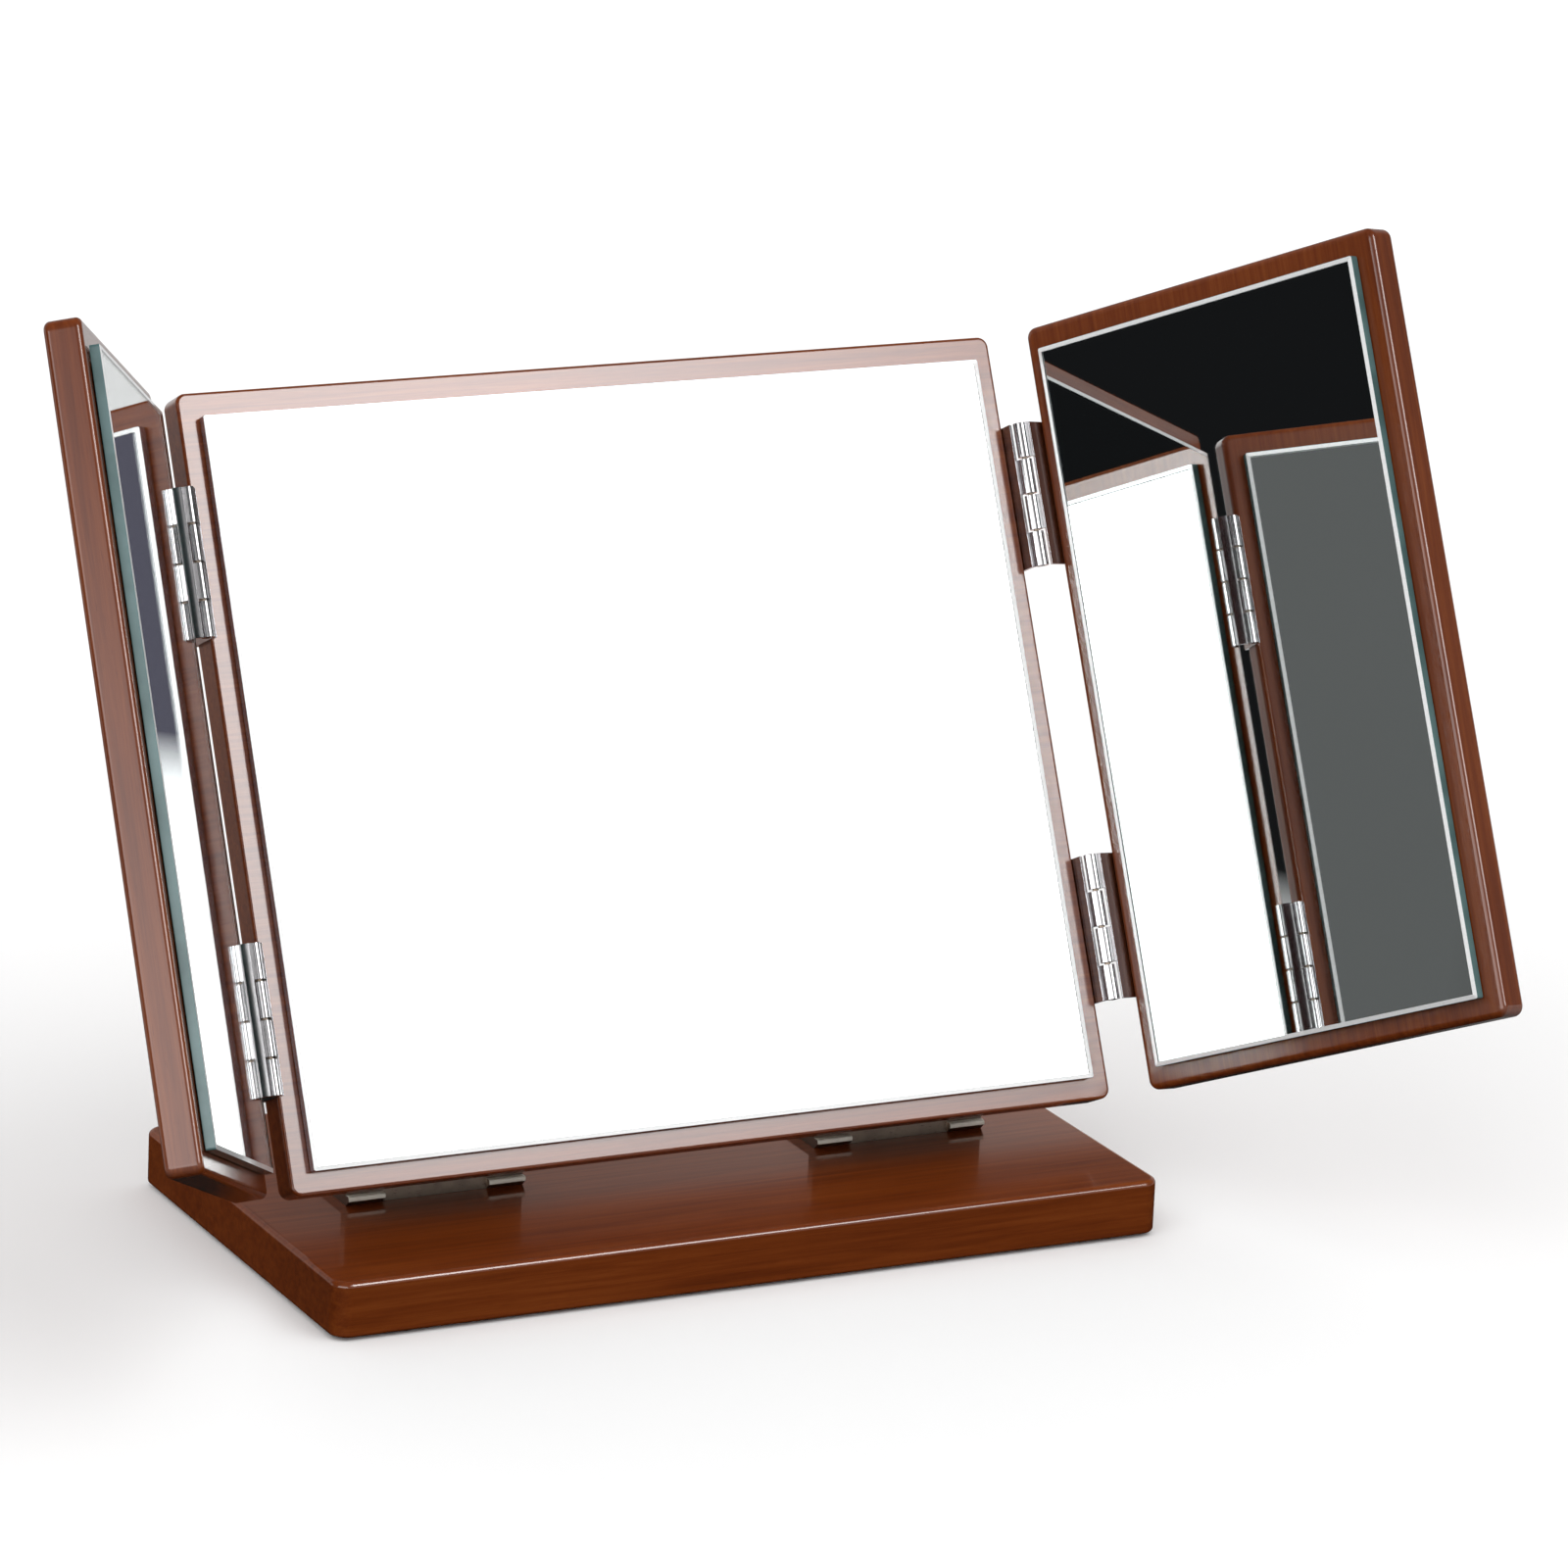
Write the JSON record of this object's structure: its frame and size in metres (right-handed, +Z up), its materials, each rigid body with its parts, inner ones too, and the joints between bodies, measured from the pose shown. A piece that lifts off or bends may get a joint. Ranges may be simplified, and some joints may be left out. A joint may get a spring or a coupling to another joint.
{
  "type": "trifold vanity mirror",
  "caption": "Tabletop mirror on a lacquered wooden base: a tilting centre panel with a smaller hinged mirror wing on each side.",
  "frame": {"origin": "middle of the felt face that rests on the table, under the centre of the base board", "axes": "+X to the right along the base and the centre panel's width, +Y to the back, away from the mirrors' faces, +Z up"},
  "size_m": [0.395, 0.211, 0.2792],
  "materials": {
    "wood": "glossy red-brown lacquer over fine straight grain",
    "felt": "dark brown self-adhesive felt",
    "bracket_metal": "satin nickel plate",
    "hinge_metal": "bright nickel plate",
    "screw_metal": "nickel plated, cross recess",
    "washer_metal": "plain steel friction washer",
    "mirror_glass": "silvered glass with a narrow polished bevel",
    "mounting_tape": "thin black foam mounting tape"
  },
  "bodies": {
    "base": {"base_board": "wood", "base_felt": "felt", "left_tilt_bracket": "bracket_metal", "right_tilt_bracket": "bracket_metal", "bracket_screws": "screw_metal", "left_tilt_pin": "bracket_metal", "right_tilt_pin": "bracket_metal", "left_tilt_washers": "washer_metal", "right_tilt_washers": "washer_metal"},
    "centre": {"centre_panel": "wood", "centre_mirror_glass": "mirror_glass", "centre_mirror_tape": "mounting_tape", "left_tilt_leaf": "bracket_metal", "right_tilt_leaf": "bracket_metal", "tilt_leaf_screws": "screw_metal", "centre_hinge_screws": "screw_metal", "left_lower_hinge_panel_leaf": "hinge_metal", "left_lower_hinge_pin": "hinge_metal", "left_upper_hinge_panel_leaf": "hinge_metal", "left_upper_hinge_pin": "hinge_metal", "right_lower_hinge_panel_leaf": "hinge_metal", "right_lower_hinge_pin": "hinge_metal", "right_upper_hinge_panel_leaf": "hinge_metal", "right_upper_hinge_pin": "hinge_metal"},
    "left_wing": {"left_wing_panel": "wood", "left_wing_mirror_glass": "mirror_glass", "left_wing_mirror_tape": "mounting_tape", "left_lower_hinge_wing_leaf": "hinge_metal", "left_upper_hinge_wing_leaf": "hinge_metal", "left_wing_hinge_screws": "screw_metal"},
    "right_wing": {"right_wing_panel": "wood", "right_wing_mirror_glass": "mirror_glass", "right_wing_mirror_tape": "mounting_tape", "right_lower_hinge_wing_leaf": "hinge_metal", "right_upper_hinge_wing_leaf": "hinge_metal", "right_wing_hinge_screws": "screw_metal"}
  },
  "joints": [
    {"name": "centre_tilt", "type": "hinge", "parent": "base", "child": "centre", "pos_m": [0, -0.014, 0.04246], "axis": [-1, 0, 0], "range_deg": [-25.5, 30]},
    {"name": "left_wing_fold", "type": "hinge", "parent": "centre", "child": "left_wing", "pos_m": [-0.1278, 0.00508, 0.1324], "axis": [0, 0.4305, 0.9026], "range_deg": [-71, 119]},
    {"name": "right_wing_fold", "type": "hinge", "parent": "centre", "child": "right_wing", "pos_m": [0.1278, 0.00508, 0.1324], "axis": [0, -0.4305, -0.9026], "range_deg": [-76, 114]}
  ]
}
